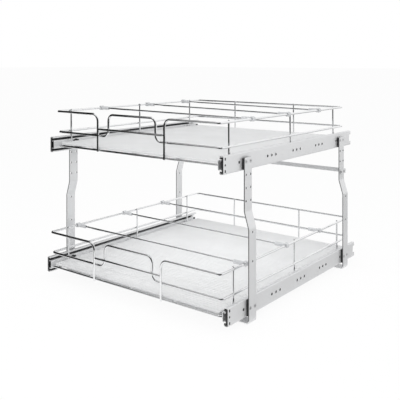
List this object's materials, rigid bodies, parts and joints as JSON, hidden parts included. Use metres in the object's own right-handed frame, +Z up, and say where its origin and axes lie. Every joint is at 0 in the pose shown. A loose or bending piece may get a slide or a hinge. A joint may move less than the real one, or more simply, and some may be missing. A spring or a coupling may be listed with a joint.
{
  "type": "pull-out cabinet organizer",
  "caption": "Tiered pull-out cabinet organizer: wire baskets with handles, liners and sliding dividers on full-extension ball-bearing slides in a steel strap frame.",
  "frame": {"origin": "middle of the organizer's box in plan, on the cabinet floor", "axes": "+Z up, -Y the way the drawers pull out, +X to the right as seen from the front"},
  "size_m": [0.527, 0.5554, 0.3924],
  "materials": {
    "strap_steel": "satin zinc plate",
    "slide_steel": "bright zinc plate",
    "dark_steel": "dark phosphate and grease",
    "cage_steel": "plain",
    "ball_steel": "polished",
    "screw_steel": "zinc plate",
    "chrome_wire": "polished chrome plate",
    "black_plastic": "matt",
    "liner_plastic": "frosted, fine ribs",
    "clip_plastic": "translucent"
  },
  "bodies": {
    "frame": {"front_frame_strap": "strap_steel", "rear_frame_strap": "strap_steel", "rear_cross_bar": "strap_steel", "frame_screws": "screw_steel", "spacer_pads": "black_plastic", "closing_bumpers": "black_plastic", "lower_left_outer_rail": "slide_steel", "lower_right_outer_rail": "slide_steel", "upper_left_outer_rail": "slide_steel", "upper_right_outer_rail": "slide_steel"},
    "lower_drawer": {"lower_left_inner_rail": "slide_steel", "lower_right_inner_rail": "slide_steel", "lower_rim_wire": "chrome_wire", "lower_mid_rail": "chrome_wire", "lower_top_rail": "chrome_wire", "lower_front_crossbar": "chrome_wire", "lower_basket_posts": "chrome_wire", "lower_floor_cross_wires": "chrome_wire", "lower_floor_long_wires": "chrome_wire", "lower_floor_liner": "liner_plastic", "lower_slide_tabs": "slide_steel", "lower_tab_screws": "screw_steel"},
    "lower_middle_members": {"lower_front_bumpers": "black_plastic", "lower_left_middle_rail": "dark_steel", "lower_right_middle_rail": "dark_steel"},
    "lower_outer_ball_cages": {"lower_outer_cages": "cage_steel", "lower_outer_balls": "ball_steel"},
    "lower_inner_ball_cages": {"lower_inner_cages": "cage_steel", "lower_inner_balls": "ball_steel"},
    "lower_front_divider": {"lower_front_divider_rod": "chrome_wire", "lower_front_divider_clips": "clip_plastic"},
    "lower_middle_divider": {"lower_middle_divider_rod": "chrome_wire", "lower_middle_divider_clips": "clip_plastic"},
    "lower_rear_divider": {"lower_rear_divider_rod": "chrome_wire", "lower_rear_divider_clips": "clip_plastic"},
    "upper_drawer": {"upper_left_inner_rail": "slide_steel", "upper_right_inner_rail": "slide_steel", "upper_rim_wire": "chrome_wire", "upper_mid_rail": "chrome_wire", "upper_top_rail": "chrome_wire", "upper_front_crossbar": "chrome_wire", "upper_basket_posts": "chrome_wire", "upper_floor_cross_wires": "chrome_wire", "upper_floor_long_wires": "chrome_wire", "upper_floor_liner": "liner_plastic", "upper_slide_tabs": "slide_steel", "upper_tab_screws": "screw_steel"},
    "upper_middle_members": {"upper_front_bumpers": "black_plastic", "upper_left_middle_rail": "dark_steel", "upper_right_middle_rail": "dark_steel"},
    "upper_outer_ball_cages": {"upper_outer_cages": "cage_steel", "upper_outer_balls": "ball_steel"},
    "upper_inner_ball_cages": {"upper_inner_cages": "cage_steel", "upper_inner_balls": "ball_steel"},
    "upper_front_divider": {"upper_front_divider_rod": "chrome_wire", "upper_front_divider_clips": "clip_plastic"},
    "upper_middle_divider": {"upper_middle_divider_rod": "chrome_wire", "upper_middle_divider_clips": "clip_plastic"},
    "upper_rear_divider": {"upper_rear_divider_rod": "chrome_wire", "upper_rear_divider_clips": "clip_plastic"}
  },
  "joints": [
    {"name": "lower_drawer_slide", "type": "slide", "parent": "frame", "child": "lower_drawer", "axis": [0, -1, 0], "range_m": [0, 0.53]},
    {"name": "lower_middle_slide", "type": "slide", "parent": "frame", "child": "lower_middle_members", "axis": [0, -1, 0], "range_m": [0, 0.265]},
    {"name": "lower_outer_cage_roll", "type": "slide", "parent": "frame", "child": "lower_outer_ball_cages", "axis": [0, -1, 0], "range_m": [0, 0.1325]},
    {"name": "lower_inner_cage_roll", "type": "slide", "parent": "frame", "child": "lower_inner_ball_cages", "axis": [0, -1, 0], "range_m": [0, 0.3975]},
    {"name": "lower_front_divider_slide", "type": "slide", "parent": "lower_drawer", "child": "lower_front_divider", "axis": [0, 1, 0], "range_m": [-0.025, 0.07]},
    {"name": "lower_middle_divider_slide", "type": "slide", "parent": "lower_drawer", "child": "lower_middle_divider", "axis": [0, 1, 0], "range_m": [-0.07, 0.03]},
    {"name": "lower_rear_divider_slide", "type": "slide", "parent": "lower_drawer", "child": "lower_rear_divider", "axis": [0, 1, 0], "range_m": [-0.09, 0.085]},
    {"name": "upper_drawer_slide", "type": "slide", "parent": "frame", "child": "upper_drawer", "axis": [0, -1, 0], "range_m": [0, 0.53]},
    {"name": "upper_middle_slide", "type": "slide", "parent": "frame", "child": "upper_middle_members", "axis": [0, -1, 0], "range_m": [0, 0.265]},
    {"name": "upper_outer_cage_roll", "type": "slide", "parent": "frame", "child": "upper_outer_ball_cages", "axis": [0, -1, 0], "range_m": [0, 0.1325]},
    {"name": "upper_inner_cage_roll", "type": "slide", "parent": "frame", "child": "upper_inner_ball_cages", "axis": [0, -1, 0], "range_m": [0, 0.3975]},
    {"name": "upper_front_divider_slide", "type": "slide", "parent": "upper_drawer", "child": "upper_front_divider", "axis": [0, 1, 0], "range_m": [-0.065, 0.095]},
    {"name": "upper_middle_divider_slide", "type": "slide", "parent": "upper_drawer", "child": "upper_middle_divider", "axis": [0, 1, 0], "range_m": [-0.02, 0.006]},
    {"name": "upper_rear_divider_slide", "type": "slide", "parent": "upper_drawer", "child": "upper_rear_divider", "axis": [0, 1, 0], "range_m": [-0.11, 0.014]}
  ],
  "couplings": [
    {"joint": "lower_middle_slide", "follows": "lower_drawer_slide", "ratio": 0.5},
    {"joint": "lower_outer_cage_roll", "follows": "lower_drawer_slide", "ratio": 0.25},
    {"joint": "lower_inner_cage_roll", "follows": "lower_drawer_slide", "ratio": 0.75},
    {"joint": "upper_middle_slide", "follows": "upper_drawer_slide", "ratio": 0.5},
    {"joint": "upper_outer_cage_roll", "follows": "upper_drawer_slide", "ratio": 0.25},
    {"joint": "upper_inner_cage_roll", "follows": "upper_drawer_slide", "ratio": 0.75}
  ]
}
